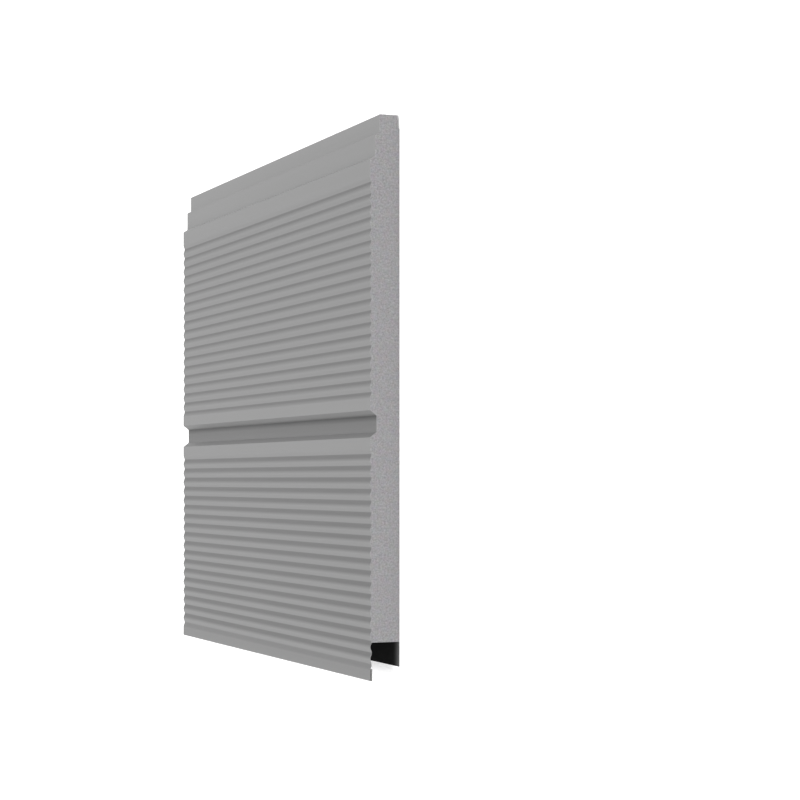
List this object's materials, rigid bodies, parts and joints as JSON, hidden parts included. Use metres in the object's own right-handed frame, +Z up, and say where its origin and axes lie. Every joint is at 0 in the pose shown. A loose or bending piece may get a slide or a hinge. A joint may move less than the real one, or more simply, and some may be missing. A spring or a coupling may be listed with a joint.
{
  "type": "insulated sandwich panel",
  "caption": "Insulated wall panel with micro-ribbed steel outer face, centre groove, flat inner face, rigid foam core, and a tongue and a skirted recess on its long edges.",
  "frame": {"origin": "centre of the footprint, on the level floor that the inner skin lies on", "axes": "+X along the panel's length, +Y towards the tongue edge, +Z up, out of the ribbed outer face"},
  "size_m": [1.25, 1.073, 0.06],
  "materials": {
    "outer_steel": "matt grey coil coating",
    "inner_steel": "matt grey coil coating",
    "foam": "cut face of rigid closed-cell foam"
  },
  "bodies": {
    "root": {"outer_skin": "outer_steel", "core": "foam", "inner_skin": "inner_steel"}
  },
  "joints": []
}
